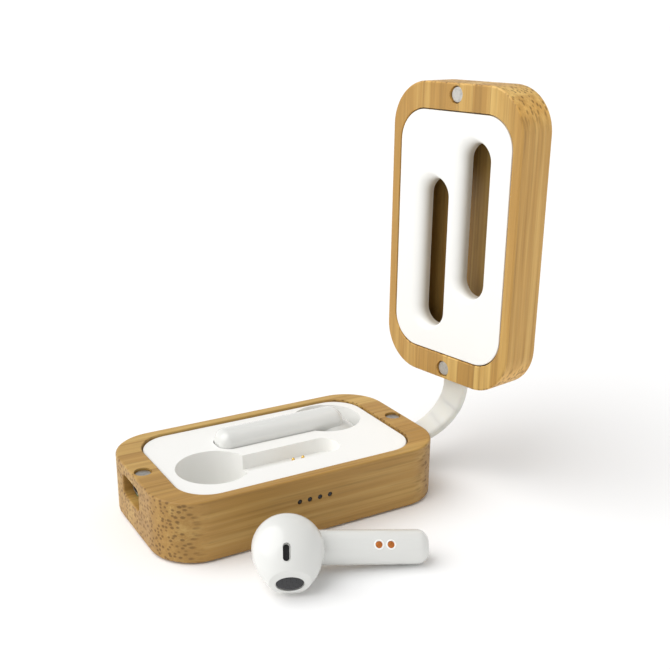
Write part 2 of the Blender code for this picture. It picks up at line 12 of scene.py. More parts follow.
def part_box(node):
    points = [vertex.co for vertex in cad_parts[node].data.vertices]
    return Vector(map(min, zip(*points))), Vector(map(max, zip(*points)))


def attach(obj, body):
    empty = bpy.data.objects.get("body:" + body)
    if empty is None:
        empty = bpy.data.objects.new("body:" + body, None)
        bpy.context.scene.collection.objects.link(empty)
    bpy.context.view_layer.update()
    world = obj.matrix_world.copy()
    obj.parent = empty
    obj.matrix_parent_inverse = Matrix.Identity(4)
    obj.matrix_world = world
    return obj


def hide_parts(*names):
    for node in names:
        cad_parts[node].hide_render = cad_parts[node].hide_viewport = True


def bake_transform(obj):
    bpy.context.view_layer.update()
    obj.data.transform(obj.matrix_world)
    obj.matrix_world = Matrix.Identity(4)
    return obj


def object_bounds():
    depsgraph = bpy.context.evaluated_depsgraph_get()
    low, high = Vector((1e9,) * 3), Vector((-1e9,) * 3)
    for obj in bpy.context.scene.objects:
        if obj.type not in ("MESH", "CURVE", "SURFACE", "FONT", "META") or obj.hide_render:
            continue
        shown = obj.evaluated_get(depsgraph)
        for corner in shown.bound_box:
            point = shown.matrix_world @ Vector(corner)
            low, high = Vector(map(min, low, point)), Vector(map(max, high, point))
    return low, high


bl_info = {
    "name": "Bamboo Earbuds Case",
    "version": (1, 0, 0),
    "blender": (4, 5, 0),
    "location": "View3D > Sidebar > Earbuds Case",
    "description": "Builds the wooden case, its strap and both earbuds around the packed frame",
    "category": "Object",
}

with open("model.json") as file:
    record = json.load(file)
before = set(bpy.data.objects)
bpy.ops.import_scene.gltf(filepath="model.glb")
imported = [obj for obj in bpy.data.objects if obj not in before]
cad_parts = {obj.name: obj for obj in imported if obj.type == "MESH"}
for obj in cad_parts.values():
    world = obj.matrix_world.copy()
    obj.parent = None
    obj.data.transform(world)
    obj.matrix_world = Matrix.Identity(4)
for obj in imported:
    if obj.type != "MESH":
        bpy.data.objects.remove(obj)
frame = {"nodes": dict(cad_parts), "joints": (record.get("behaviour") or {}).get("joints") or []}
CAD_LOW, CAD_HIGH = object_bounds()
MM = 0.001

NEAR = 0.02 * MM  # a point this close to a face counts as on it
CASE_HALF = Vector((40.0, 22.5, 0)) * MM
LID_THICK = 11.8 * MM
FOOT_EDGE = 0.9 * MM
INSERT_DEPTH = 4.0 * MM
MAGNET_AT = 37.1 * MM
MAGNET_SEAT = 2.25 * MM
STEM_AXIS = 6.9 * MM  # each stem lies this far off the case's middle line
TRAY_HALF = 19.35 * MM
TRAY_CORNER = 8.45 * MM
POCKET_AT = 20.4 * MM
POCKET_SHIFT = 1.9 * MM
POCKET_RADIUS = 9.6 * MM
POCKET_FLOOR = 3.9 * MM
WELL_END = 14.55 * MM
WELL_HALF = 4.45 * MM
WELL_CORNER = 3.6 * MM
WELL_FLOOR = 11.6 * MM
SLOT_ENDS = (-15.05 * MM, 25.7 * MM)
SLOT_FRONT = 5.9 * MM  # the lid's slots reach further to the front of the stem than to its back
SLOT_BACK = 3.3 * MM
SLOT_CORNER = 4.58 * MM
LIGHT_COUNT = 4
CONTACT_TAGS = ("front_1", "front_2", "back_1", "back_2")
BUD_CONTACTS_AT = (30.2 * MM, 33.1 * MM)  # from the earbud's start
OUTLET_SQUASH = 0.66
STRAP_IN_BASE = 10.0  # millimetres of band before the first hinge
STRAP_IN_LID = 13.0  # millimetres of band past the last hinge
BLEND_REACH = 2.4  # millimetres each way from a hinge, for two points that nothing uses
OUTLET_TURN = Matrix.Rotation(-math.pi / 2, 4, "X")  # from up to out of the head
LID_YAW = math.radians(9.9)
LOOSE_HEADING = math.radians(-20.8)
LOOSE_ROLL = math.radians(39.1)
LOOSE_PITCH = math.radians(4.56)
CAMERA_AT = Vector((-0.10609, -0.21054, 0.12317))
CAMERA_AHEAD = Vector((0.47764, 0.81125, -0.33723))
CAMERA_RIGHT = Vector((0.86348, -0.5043, 0.00984))
KEY_AIM = Vector((0.58, -0.14, -0.76))


# ---------------------------------------------------------------- sizes and colours

def length(label, meaning, millimetres):
    """A length that the user can change."""
    return FloatProperty(name=label, description=meaning, default=millimetres * MM, unit="LENGTH")


def slope(label, meaning, degrees):
    """An angle that the user can change."""
    return FloatProperty(name=label, description=meaning, default=math.radians(degrees), subtype="ANGLE")


def tint(label, meaning, value):
    """A colour that the user can change."""
    return FloatVectorProperty(name=label, description=meaning, subtype="COLOR", default=value)


def number(label, meaning, value):
    """A plain number that the user can change."""
    return FloatProperty(name=label, description=meaning, default=value)


class CaseSizes(bpy.types.PropertyGroup):
    """Sizes of the wooden case and its white inserts."""

    corner: length("Corner radius", "Radius of the case's four corners", 11.8)
    side_rim: length("Side rim", "Width of the rim along the sides", 2.8)
    end_rim: length("End rim", "Width of the rim at the ends", 6.9)
    room_corner: length("Room corner", "Corner radius of the hollow", 8.8)
    floor: length("Floor", "Thickness of the wooden floor", 2.4)
    soft_edge: length("Soft edge", "Rounding of the outer edges", 0.55)
    well_lip: length("Well lip", "Rounding of the edges of the wells", 0.6)
    slot_lip: length("Lid slot lip", "Widest rounding of the edges of the lid's slots", 3.4)


class BudSizes(bpy.types.PropertyGroup):
    """Sizes of an earbud, s from the head to the tip, t towards the outlet, n out of the contacts."""

    length: length("Length", "From the head's end to the stem's tip", 43.0)
    stem_start: length("Stem start", "Where the stem begins over the head", 5.5)
    head_radius: length("Head radius", "Radius of the head seen from the front", 8.4)
    head_depth: length("Head depth", "Thickness of the head", 11.5)
    outlet_slant: slope("Outlet slant", "Slant of the outlet's cut towards the contacts' side", 26.0)
    tilt: slope("Outlet tilt", "Lean of the outlet towards the contacts' side", 11.0)


class StrapSizes(bpy.types.PropertyGroup):
    """Sizes of the soft strap."""

    width: length("Width", "Width of the band", 7.9)
    thick: length("Thickness", "Thickness of the band", 2.8)
    steps: IntProperty(name="Steps", description="Rings between two hinge points", default=14)


class Looks(bpy.types.PropertyGroup):
    """Colours of the finishes."""

    straw: tint("Straw", "Light ground of the bamboo", (0.630, 0.410, 0.125))
    honey: tint("Honey", "Middle tone of the bamboo", (0.455, 0.250, 0.058))
    umber: tint("Umber", "Dark fibre bundles", (0.150, 0.070, 0.016))
    shell: tint("Shell white", "Glossy white of the earbuds", (0.740, 0.742, 0.715))
    insert: tint("Insert white", "Satin white of the tray and lid insert", (0.900, 0.895, 0.865))
    strap: tint("Strap", "Frosted silicone", (0.730, 0.735, 0.690))


class StageLooks(bpy.types.PropertyGroup):
    """Floor, lights and camera."""

    lens: number("Lens", "Focal length in millimetres", 51.92)
    shift: number("Shift", "Upward shift of the view", 0.0403)
    sky: number("Sky", "Strength of the surround overhead", 0.46)
    horizon: number("Horizon", "Strength of the surround at the floor's far edge", 1.08)
    key: number("Key light", "Strength of the large soft light from the left", 2.35)


# ---------------------------------------------------------------- modelling by hand

def let_go():
    """Leaves edit mode and deselects everything."""
    if bpy.context.object and bpy.context.object.mode != "OBJECT":
        bpy.ops.object.mode_set(mode="OBJECT")
    bpy.ops.object.select_all(action="DESELECT")


def hold(piece):
    """Makes the piece the only selected and active one."""
    let_go()
    piece.select_set(True)
    bpy.context.view_layer.objects.active = piece


def settle(piece, name):
    """Names a fresh primitive and moves its place into its mesh."""
    piece.name = name
    piece.data.name = name
    bpy.ops.object.transform_apply(location=True, rotation=True, scale=True)
    return piece


def pick_edges(piece, test):
    """In edit mode, selects the edges whose two ends pass the test."""
    hold(piece)
    bpy.ops.object.mode_set(mode="EDIT")
    bpy.ops.mesh.select_mode(type="EDGE")
    bpy.ops.mesh.select_all(action="DESELECT")
    shape = bmesh.from_edit_mesh(piece.data)
    for edge in shape.edges:
        if test(edge.verts[0].co, edge.verts[1].co):
            edge.select_set(True)
    bmesh.update_edit_mesh(piece.data)


def round_edges(piece, test, radius, segments):
    """Bevels the edges that pass the test."""
    pick_edges(piece, test)
    bpy.ops.mesh.bevel(offset=radius, segments=segments, profile=0.5, affect="EDGES", clamp_overlap=True)
    bpy.ops.object.mode_set(mode="OBJECT")


def block(name, low, high, corner, axis=2, top=0.0, bottom=0.0, segments=12, soft=4):
    """A block with rounded corners about one axis and softened ends."""
    low = Vector(low)
    high = Vector(high)
    let_go()
    bpy.ops.mesh.primitive_cube_add(size=1, location=(low + high) / 2)
    piece = bpy.context.object
    piece.scale = high - low
    settle(piece, name)
    near = 1e-6
    if corner:
        round_edges(piece, lambda a, b: abs(a[axis] - b[axis]) > near, corner, segments)
    if top:
        round_edges(piece, lambda a, b: min(a[axis], b[axis]) > high[axis] - near, top, soft)
    if bottom:
        round_edges(piece, lambda a, b: max(a[axis], b[axis]) < low[axis] + near, bottom, soft)
    return piece


def in_mm(*pairs):
    """(height, radius) pairs of a round piece, from millimetres."""
    return [(height * MM, radius * MM) for height, radius in pairs]


def below(top, *pairs):
    """(height, radius) pairs, from drops under a top and radii in millimetres."""
    return [(top - drop * MM, radius * MM) for drop, radius in pairs]


def turned(name, profile, segments=48):
    """A round piece about Z, drawn up ring by ring from (height, radius) pairs."""
    let_go()
    height, radius = profile[0]
    bpy.ops.mesh.primitive_circle_add(vertices=segments, radius=radius, fill_type="NGON",
                                      location=(0, 0, height))
    piece = settle(bpy.context.object, name)
    bpy.ops.object.mode_set(mode="EDIT")
    bpy.ops.mesh.select_all(action="SELECT")
    for new_height, new_radius in profile[1:]:
        bpy.ops.mesh.extrude_region_move(TRANSFORM_OT_translate={"value": (0, 0, new_height - height)})
        share = new_radius / radius
        bpy.ops.transform.resize(value=(share, share, 1), center_override=(0, 0, new_height))
        height, radius = new_height, new_radius
    bpy.ops.mesh.select_all(action="SELECT")
    bpy.ops.mesh.normals_make_consistent(inside=False)
    bpy.ops.object.mode_set(mode="OBJECT")
    return piece


def boolean(piece, tool, operation="DIFFERENCE"):
    """Cuts or joins a helper and removes it."""
    hold(piece)
    step = piece.modifiers.new("shape", "BOOLEAN")
    step.operation = operation
    step.solver = "EXACT"
    step.object = tool
    bpy.ops.object.modifier_apply(modifier=step.name)
    bpy.data.objects.remove(tool, do_unlink=True)
    return piece


def move_into(piece, place):
    """Carries the mesh into place and keeps its faces out."""
    piece.data.transform(place)
    if place.determinant() < 0:
        piece.data.flip_normals()
    piece.data.update()
    return piece


def smooth(piece, angle=35.0, weighted=True):
    """Smooth shading with crisp edges; wide flats keep their normals."""
    hold(piece)
    bpy.ops.object.shade_smooth_by_angle(angle=math.radians(angle))
    if weighted:
        step = piece.modifiers.new("flats", "WEIGHTED_NORMAL")
        step.keep_sharp = True
        bpy.ops.object.modifier_apply(modifier=step.name)
    return piece


def twin(piece, name):
    """A copy with its own mesh."""
    other = piece.copy()
    other.data = piece.data.copy()
    other.name = name
    bpy.context.scene.collection.objects.link(other)
    return other


def finish_piece(piece, material, body, *nodes):
    """Gives the finish, hangs the piece on its body and hides what it stands for."""
    piece.data.materials.clear()
    piece.data.materials.append(material)
    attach(piece, body)
    if nodes:
        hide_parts(*nodes)
    return piece


# ---------------------------------------------------------------- shader maths

class Flow:
    """A socket of a shader tree that can be used in sums."""

    def __init__(self, paint, socket):
        self.paint = paint
        self.socket = socket

    def sum_with(self, operation, first, second):
        return self.paint.node("ShaderNodeMath", {"operation": operation}, {0: first, 1: second})

    def __add__(self, other):
        return self.sum_with("ADD", self, other)

    __radd__ = __add__

    def __sub__(self, other):
        return self.sum_with("SUBTRACT", self, other)

    def __rsub__(self, other):
        return self.sum_with("SUBTRACT", other, self)

    def __mul__(self, other):
        return self.sum_with("MULTIPLY", self, other)

    __rmul__ = __mul__

    def __truediv__(self, other):
        return self.sum_with("DIVIDE", self, other)

    def __abs__(self):
        return self.sum_with("ABSOLUTE", self, 0.0)


class Paint:
    """A node-based finish with one Principled shader."""

    def __init__(self, name, **constants):
        self.material = bpy.data.materials.new(name)
        self.material.use_nodes = True
        self.tree = self.material.node_tree
        self.shader = self.tree.nodes["Principled BSDF"]
        for socket, value in constants.items():
            self.shader.inputs[socket.replace("_", " ")].default_value = value

    def node(self, kind, settings=None, sockets=None, output=0):
        made = self.tree.nodes.new(kind)
        for key, value in (settings or {}).items():
            if key == "stops":
                ramp = made.color_ramp
                while len(ramp.elements) < len(value):
                    ramp.elements.new(0.5)
                for element, (position, colour) in zip(ramp.elements, value):
                    element.position = position
                    element.color = (*colour, 1.0)
            else:
                setattr(made, key, value)
        for key, value in (sockets or {}).items():
            self.feed(made.inputs[key], value)
        return Flow(self, made.outputs[output])

    def feed(self, socket, value):
        if isinstance(value, Flow):
            self.tree.links.new(value.socket, socket)
        else:
            socket.default_value = value

    def set(self, name, value):
        self.feed(self.shader.inputs[name], value)

    def spot(self, place=None):
        """Object coordinates, in the piece's own frame where one is given."""
        spot = self.node("ShaderNodeTexCoord", output="Object")
        if place is None:
            return spot
        turn = place.to_euler()
        return self.node("ShaderNodeMapping", {"vector_type": "TEXTURE"},
                         {"Vector": spot, "Location": place.translation, "Rotation": turn})

    def stretch(self, spot, amount):
        return self.node("ShaderNodeVectorMath", {"operation": "MULTIPLY"}, {0: spot, 1: amount})

    def noise(self, spot, scale=1.0, detail=2.0, rough=0.5):
        return self.node("ShaderNodeTexNoise", None,
                         {"Vector": spot, "Scale": scale, "Detail": detail, "Roughness": rough}, "Fac")

    def ease(self, value, low, high):
        """0 below low, 1 above high, smooth between."""
        return self.node("ShaderNodeMapRange", {"interpolation_type": "SMOOTHSTEP"},
                         {"Value": value, "From Min": low, "From Max": high})

    def parts(self, vector):
        """The X, Y and Z of a vector."""
        made = self.node("ShaderNodeSeparateXYZ", None, {0: vector}).socket.node
        return [Flow(self, socket) for socket in made.outputs]

    def mix(self, share, first, second, blend="MIX"):
        made = self.tree.nodes.new("ShaderNodeMix")
        made.data_type = "RGBA"
        made.blend_type = blend
        self.feed(made.inputs[0], share)
        for socket, value in ((made.inputs[6], first), (made.inputs[7], second)):
            self.feed(socket, value if isinstance(value, Flow) else (*value, 1.0))
        return Flow(self, made.outputs[2])

    def bump(self, height, strength, distance):
        sockets = {"Height": height, "Strength": strength, "Distance": distance}
        return self.node("ShaderNodeBump", None, sockets)


def bamboo(name, place, looks, light, seed, end_grain_and_light_tone, painted_side_light, hollow=None):
    """Laminated bamboo: fibre bundles run along X, so they are streaks on the sides and dots on the ends."""
    paint = Paint(name, IOR=1.45)
    spot = paint.spot(place)
    shift = (seed, seed * 0.37, seed * 0.61)
    shifted = paint.node("ShaderNodeVectorMath", {"operation": "ADD"}, {0: spot, 1: shift})
    bend = paint.noise(paint.stretch(shifted, (14.0, 60.0, 60.0)), 1.0, 1.0)
    along, across, upward = paint.parts(shifted)
    across = across + (bend - 0.5) * 0.0011
    upward = upward + (bend - 0.5) * 0.0009

    def grain(run, cross):
        """Coordinates drawn out along the fibres, in cells to the metre."""
        sockets = {0: along * run, 1: across * cross, 2: upward * cross}
        return paint.node("ShaderNodeCombineXYZ", None, sockets)

    def toned(colour, share=1.0):
        return [min(1.0, c * share * light) for c in colour]

    bundles = paint.node("ShaderNodeTexVoronoi", None,
                         {"Vector": grain(20.0, 1000.0), "Scale": 1.0, "Randomness": 0.9}, "Distance")
    wide = paint.noise(grain(13.0, 420.0), 1.0, 3.0, 0.55)
    fine = paint.noise(grain(55.0, 3600.0), 1.0, 3.0, 0.6)
    strip = across / 0.0058
    strip_number = paint.node("ShaderNodeMath", {"operation": "FLOOR"}, {0: strip})
    strip_tone = paint.node("ShaderNodeTexWhiteNoise", {"noise_dimensions": "1D"},
                            {"W": strip_number}, "Value")
    joint = paint.node("ShaderNodeMath", {"operation": "FRACT"}, {0: strip})
    from_joint = paint.node("ShaderNodeMath", {"operation": "PINGPONG"}, {0: joint, 1: 0.5})
    glue = 1 - paint.ease(from_joint, 0.0, 0.03)
    facing = paint.node("ShaderNodeTexCoord", output="Normal")
    turn = place.to_3x3().inverted() if place is not None else Matrix.Identity(3)
    faces_x, faces_y = [
        paint.node("ShaderNodeVectorMath", {"operation": "DOT_PRODUCT"}, {0: facing, 1: turn[axis]}, "Value")
        for axis in (0, 1)]
    end = paint.ease(abs(faces_x), 0.12, 0.62)
    # Mask of faces that look along the piece's Y, used only for the painted side light and shade.
    side = paint.ease(abs(faces_y), 0.5, 0.9)
    dots = 1 - paint.ease(bundles, 0.22, 0.50)
    streaks = (1 - paint.ease(bundles, 0.10, 0.55)) * 0.75
    dark = dots * end + streaks * (1 - end)
    crisp = paint.ease(fine, 0.50, 0.72)
    tone = wide * 0.55 + fine * 0.36 + strip_tone * 0.20 - 0.12
    ground = paint.node("ShaderNodeValToRGB", {"stops": (
        (0.12, toned(looks.honey, 0.72)), (0.38, toned(looks.honey)),
        (0.60, toned(looks.straw)), (0.90, toned(looks.straw, 1.18)))}, {0: tone})
    umber = toned(looks.umber)
    veins = dark * (0.34 + 0.52 * end) * (0.35 + fine) + crisp * (1 - end) * 0.30
    veined = paint.mix(veins, ground, umber)
    glued = paint.mix(glue * 0.22 * (1 - end), veined, umber)
    # Ends: the colour is multiplied by the end tone on end-facing faces; on the base this darker end grain
    # also holds painted shade, on the lid it is painted light on its top and bottom.
    with_end_grain_and_light = paint.mix(end * 0.7, glued, paint.mix(1.0, glued, (end_grain_and_light_tone,) * 3, "MULTIPLY"))
    # Painted light and shade: faces looking along Y are multiplied by the side tone, darker on the base's
    # front and back and lighter on the lid's sides.
    shaded = paint.mix(side, with_end_grain_and_light, paint.mix(1.0, with_end_grain_and_light, (painted_side_light,) * 3, "MULTIPLY"))
    # Painted shade: the wood inside the lid's hollow, seen through the insert's slots, is darkened towards a
    # deep umber.
    if hollow is not None:
        inside = hollow_mask(paint, spot, hollow)
        shaded = paint.mix(inside * 0.38, shaded, [c * 0.35 for c in looks.umber])
    paint.set("Base Color", shaded)
    paint.set("Roughness", 0.40 + dark * 0.14 + fine * 0.12)
    paint.set("Normal", paint.bump(fine * 0.5 - dark * 0.6 - glue * 0.4, 0.28, 0.00012))
    return paint.material


# Mask for the painted shade inside the lid's hollow.
def hollow_mask(paint, spot, hollow):
    """1 inside the lid's hollow: within its half length and width, and past its depth."""
    x, y, depth = paint.parts(spot)
    wall = 0.3 * MM
    inside = 1 - paint.ease(abs(x), hollow.x, hollow.x + wall)
    inside = inside * (1 - paint.ease(abs(y), hollow.y, hollow.y + wall))
    inside = inside * (1 - paint.ease(depth, hollow.z, hollow.z + 2.0 * MM))
    return inside * paint.ease(depth, -11.0 * MM, -10.2 * MM)


def moulded(name, colour, rough, grain=0.10, place=None, painted_throat_shade=None, **constants):
    """Moulded plastic: a faint mottled skin with a slight cloud in its gloss."""
    paint = Paint(name, **constants)
    spot = paint.spot()
    cloud = paint.noise(spot, 95.0, 2.0)
    skin = paint.noise(spot, 2600.0, 2.0)
    base = paint.mix(cloud * 0.5, colour, [c * 0.965 for c in colour])
    # Painted shade: the colour darkens towards grey beige with depth in the piece's own frame, down the
    # insert's slot throats.
    if painted_throat_shade is not None:
        height = paint.parts(paint.spot(place))[2]
        throat_shade_share = 1 - paint.ease(height, painted_throat_shade[1], painted_throat_shade[0])
        base = paint.mix(throat_shade_share * 0.8, base, painted_throat_shade[2])
    paint.set("Base Color", base)
    paint.set("Roughness", rough - 0.05 + cloud * 0.10)
    paint.set("Normal", paint.bump(skin, grain, 0.00003))
    return paint.material


def plated(name, colour, rough, scale=900.0):
    """Plated metal with fine wear."""
    paint = Paint(name, Metallic=1.0)
    spot = paint.spot()
    wear = paint.noise(spot, scale, 4.0, 0.65)
    paint.set("Base Color", paint.mix(paint.ease(wear, 0.35, 0.75), colour, [c * 0.72 for c in colour]))
    paint.set("Roughness", rough + wear * 0.16)
    paint.set("Normal", paint.bump(wear, 0.15, 0.00003))
    return paint.material


def perforated(name, place, pitch, hole, web):
    """A dark metal mesh: staggered round holes in a fine web."""
    paint = Paint(name, Roughness=0.5)
    spot = paint.stretch(paint.spot(place), (1 / pitch,) * 3)
    cells = paint.node("ShaderNodeTexVoronoi", None,
                       {"Vector": spot, "Scale": 1.0, "Randomness": 0.12}, "Distance")
    # Painted shade: the open holes are near-black, standing in for the shade seen through them; the web keeps
    # the mesh's own dark colour.
    open_part = 1 - paint.ease(cells, 0.26, 0.38)
    paint.set("Base Color", paint.mix(open_part, web, hole))
    paint.set("Metallic", (1 - open_part) * 0.5)
    paint.set("Normal", paint.bump(open_part * -1.0, 0.5, 0.00012))
    return paint.material


def circuit(name):
    """Green circuit board with faint copper traces."""
    paint = Paint(name, Roughness=0.42)
    spot = paint.spot()
    traces = paint.node("ShaderNodeTexBrick", None,
                        {"Vector": spot, "Scale": 260.0, "Mortar Size": 0.05}, "Fac")
    paint.set("Base Color", paint.mix(traces * 0.6, (0.015, 0.10, 0.045), (0.10, 0.22, 0.08)))
    paint.set("Normal", paint.bump(traces, 0.2, 0.00003))
    return paint.material


def silicone(name, colour):
    """Frosted silicone: soft, slightly see-through skin with faint flow marks."""
    paint = Paint(name, Subsurface_Weight=0.25, Subsurface_Scale=0.004, IOR=1.41, Coat_Roughness=0.5)
    paint.shader.inputs["Subsurface Radius"].default_value = (1.0, 0.9, 0.7)
    spot = paint.spot()
    cloud = paint.noise(spot, 160.0, 3.0)
    skin = paint.noise(spot, 3400.0, 2.0)
    paint.set("Base Color", paint.mix(cloud * 0.6, colour, [c * 0.93 for c in colour]))
    paint.set("Roughness", 0.46 + cloud * 0.16)
    paint.set("Normal", paint.bump(skin, 0.14, 0.00004))
    return paint.material


# ---------------------------------------------------------------- places

def axes_place(x_axis, y_axis, origin):
    """A placing matrix from two axes."""
    turn = Matrix((x_axis, y_axis, x_axis.cross(y_axis))).transposed().to_4x4()
    return Matrix.Translation(origin) @ turn


def lid_place():
    """The lid's frame: X away from the strap, Y across, Z out of its inner face."""
    low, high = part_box("lid_shell")
    up = Vector((0, 0, 1))
    across = Vector((-math.sin(LID_YAW), math.cos(LID_YAW), 0))
    face = up.cross(across)
    middle = (low + high) / 2
    return axes_place(up, across, middle + face * (LID_THICK / 2))


def seated_place():
    """The seated earbud's frame, from its stem."""
    low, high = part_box("stem_seated")
    start = Vector((high.x + scene_sizes().bud.stem_start, (low.y + high.y) / 2, (low.z + high.z) / 2))
    return axes_place(Vector((-1, 0, 0)), Vector((0, 1, 0)), start)


def loose_place():
    """The loose earbud's frame: it rests on its outlet and its stem's tip."""
    flat = math.cos(LOOSE_PITCH)
    run = Vector((math.cos(LOOSE_HEADING) * flat, math.sin(LOOSE_HEADING) * flat, -math.sin(LOOSE_PITCH)))
    level = Vector((math.sin(LOOSE_HEADING), -math.cos(LOOSE_HEADING), 0))
    rise = run.cross(level)
    if rise.z < 0:
        rise = -rise
    outward = level * math.cos(LOOSE_ROLL) + rise * math.sin(LOOSE_ROLL)
    low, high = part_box("stem_loose")
    sizes = scene_sizes().bud
    middle = (low + high) / 2
    start = middle - run * ((sizes.length + sizes.stem_start) / 2)
    return axes_place(run, outward.cross(run), start) @ Matrix.Diagonal((1, -1, 1, 1))


def scene_sizes():
    return bpy.context.scene.earbuds_case


# ---------------------------------------------------------------- pieces

def magnet_seat(wood, x, y, floor, top):
    """Bores the round seat of a magnet."""
    seat = turned("seat", [(floor, MAGNET_SEAT), (top, MAGNET_SEAT)], 40)
    seat.data.transform(Matrix.Translation((x, y, 0)))
    boolean(wood, seat)


def strap_exit(wood, at):
    """Cuts the strap's slot through an end wall."""
    strap = scene_sizes().strap
    half = Vector((9 * MM, strap.width / 2 + 0.2 * MM, strap.thick / 2 + 0.2 * MM))
    boolean(wood, block("exit", at - half, at + half, 1.1 * MM, axis=0, segments=6))


def soften_rim(wood, inner, above):
    """Breaks the hollow's edges in the rim's face."""
    round_edges(wood, lambda a, b: min(a.z, b.z) > above and max(abs(a.x), abs(b.x)) < inner.x + NEAR
                and max(abs(a.y), abs(b.y)) < inner.y + NEAR, 0.22 * MM, 3)


def set_in_front_wall(piece, node, y):
    """Turns a round piece to face out of the front wall, where a charge light is."""
    a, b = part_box(node)
    piece.data.transform(Matrix.Rotation(-math.pi / 2, 4, "X"))
    piece.data.transform(Matrix.Translation(((a.x + b.x) / 2, y, (a.z + b.z) / 2)))
    return piece


class CASE_OT_base(bpy.types.Operator):
    """Carves the wooden base with its port, strap slot, magnet seats and light holes."""

    bl_idname = "earbuds_case.base"
    bl_label = "Wooden base"

    def execute(self, context):
        sizes = scene_sizes().case
        low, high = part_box("base_shell")
        wood = block("base_wood", low, high, sizes.corner, top=sizes.soft_edge, bottom=FOOT_EDGE, segments=22)
        rim = Vector((sizes.end_rim, sizes.side_rim, 0))
        room_low = low + rim + Vector((0, 0, sizes.floor))
        room_high = high - rim + Vector((0, 0, 2 * MM))
        boolean(wood, block("room", room_low, room_high, sizes.room_corner, segments=18))
        for side in ("left", "right"):
            a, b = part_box("base_magnet_" + side)
            magnet_seat(wood, (a.x + b.x) / 2, (a.y + b.y) / 2, a.z - 0.3 * MM, high.z + 2 * MM)
        port = Vector((low.x, 2.0 * MM, 10.2 * MM))
        reach = Vector((8.9, 5.75, 2.9)) * MM
        window_low = port - Vector((2 * MM, reach.y, reach.z))
        boolean(wood, block("window", window_low, port + reach, 1.4 * MM, axis=0, segments=8))
        strap_exit(wood, Vector((high.x, 0, 8.1 * MM)))
        lights = ["charge_light_" + str(number + 1) for number in range(LIGHT_COUNT)]
        for light in lights:
            hole = turned("hole", in_mm((0, 0.66), (12, 0.66)), 24)
            boolean(wood, set_in_front_wall(hole, light, low.y - 2 * MM))
        inner = Vector((high.x - sizes.end_rim, high.y - sizes.side_rim, 0))
        soften_rim(wood, inner, high.z - NEAR)

        def at_port(a, b):
            beside = max(abs(a.y - port.y), abs(b.y - port.y)) < 6 * MM
            level = min(a.z, b.z) > 6.5 * MM and max(a.z, b.z) < 14 * MM
            return max(a.x, b.x) < low.x + NEAR and beside and level

        round_edges(wood, at_port, 0.45 * MM, 3)
        # The lens is near-black and sits 0.12 mm under the face: partly the lights' own lens, partly painted
        # shade standing in for the dark inside of the holes.
        lens = moulded("light_lens", (0.012, 0.010, 0.010), 0.22, 0.02)
        for number, light in enumerate(lights):
            a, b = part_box(light)
            profile = [*in_mm((0.12, 0.5), (0.2, 0.62)), (b.y - low.y, 0.62 * MM)]
            plug = set_in_front_wall(turned("light_plug_" + str(number + 1), profile, 24), light, low.y)
            finish_piece(smooth(plug, 30, False), lens, "base", light)
        # Base bamboo: ends 0.80 darker, as end grain with painted shade, and front and back 0.90 darker as
        # painted shade.
        bamboo_base = bamboo("bamboo_base", None, scene_sizes().looks, 0.96, 0.0, 0.80, 0.90)
        finish_piece(smooth(wood), bamboo_base, "base", "base_shell")
        return {"FINISHED"}


def well(name, side, grow, top):
    """The form of one well: a round head pocket run into a straight stem slot."""
    axis_y = side * STEM_AXIS
    centre = Vector((side * POCKET_AT, axis_y + POCKET_SHIFT, 0))
    radius = POCKET_RADIUS + grow
    slot_floor = WELL_FLOOR - grow
    form = turned(name, [(POCKET_FLOOR - grow, radius), (top, radius)], 96)
    form.data.transform(Matrix.Translation(centre))
    end = -side * (WELL_END + grow)
    half = WELL_HALF + grow
    low = Vector((min(end, centre.x), axis_y - half, slot_floor))
    high = Vector((max(end, centre.x), axis_y + half, top))
    boolean(form, block("slot", low, high, WELL_CORNER + grow, segments=12), "UNION")
    near = 0.3 * MM

    def at_junction(a, b):
        upright = abs(a.x - b.x) < 1e-6 and abs(a.y - b.y) < 1e-6
        on_slot = abs(abs(a.y - axis_y) - half) < near
        on_pocket = abs((Vector((a.x, a.y, 0)) - centre).length - radius) < near
        return upright and on_slot and on_pocket and min(a.z, b.z) > slot_floor - 1e-6

    if grow == 0.0:
        round_edges(form, at_junction, 1.2 * MM, 5)
    return form


class CASE_OT_tray(bpy.types.Operator):
    """Moulds the white tray with a head pocket and a stem slot for each earbud."""

    bl_idname = "earbuds_case.tray"
    bl_label = "Base tray"

    def execute(self, context):
        sizes = scene_sizes().case
        low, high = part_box("base_tray")
        plate_low = Vector((low.x, -TRAY_HALF, high.z - 1.6 * MM))
        plate_high = Vector((high.x, TRAY_HALF, high.z))
        tray = block("tray", plate_low, plate_high, TRAY_CORNER, top=0.35 * MM, segments=18, soft=3)
        for side in (1, -1):
            boolean(tray, well("wall", side, 1.0 * MM, high.z - 0.8 * MM), "UNION")
        for side in (1, -1):
            boolean(tray, well("well", side, 0.0, high.z + 2 * MM))
        for tag in CONTACT_TAGS:
            a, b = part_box("contact_barrel_" + tag)
            hole = turned("hole", in_mm((9, 1.2), (13, 1.2)), 24)
            hole.data.transform(Matrix.Translation(((a.x + b.x) / 2, (a.y + b.y) / 2, 0)))
            boolean(tray, hole)
        inside = Vector((high.x - 1.0 * MM, TRAY_HALF - 0.37 * MM))
        round_edges(tray, lambda a, b: min(a.z, b.z) > high.z - NEAR and max(abs(a.x), abs(b.x)) < inside.x
                    and max(abs(a.y), abs(b.y)) < inside.y, sizes.well_lip, 4)
        tray_white = moulded("tray_white", scene_sizes().looks.insert, 0.46, 0.10)
        finish_piece(smooth(tray), tray_white, "base", "base_tray")
        return {"FINISHED"}


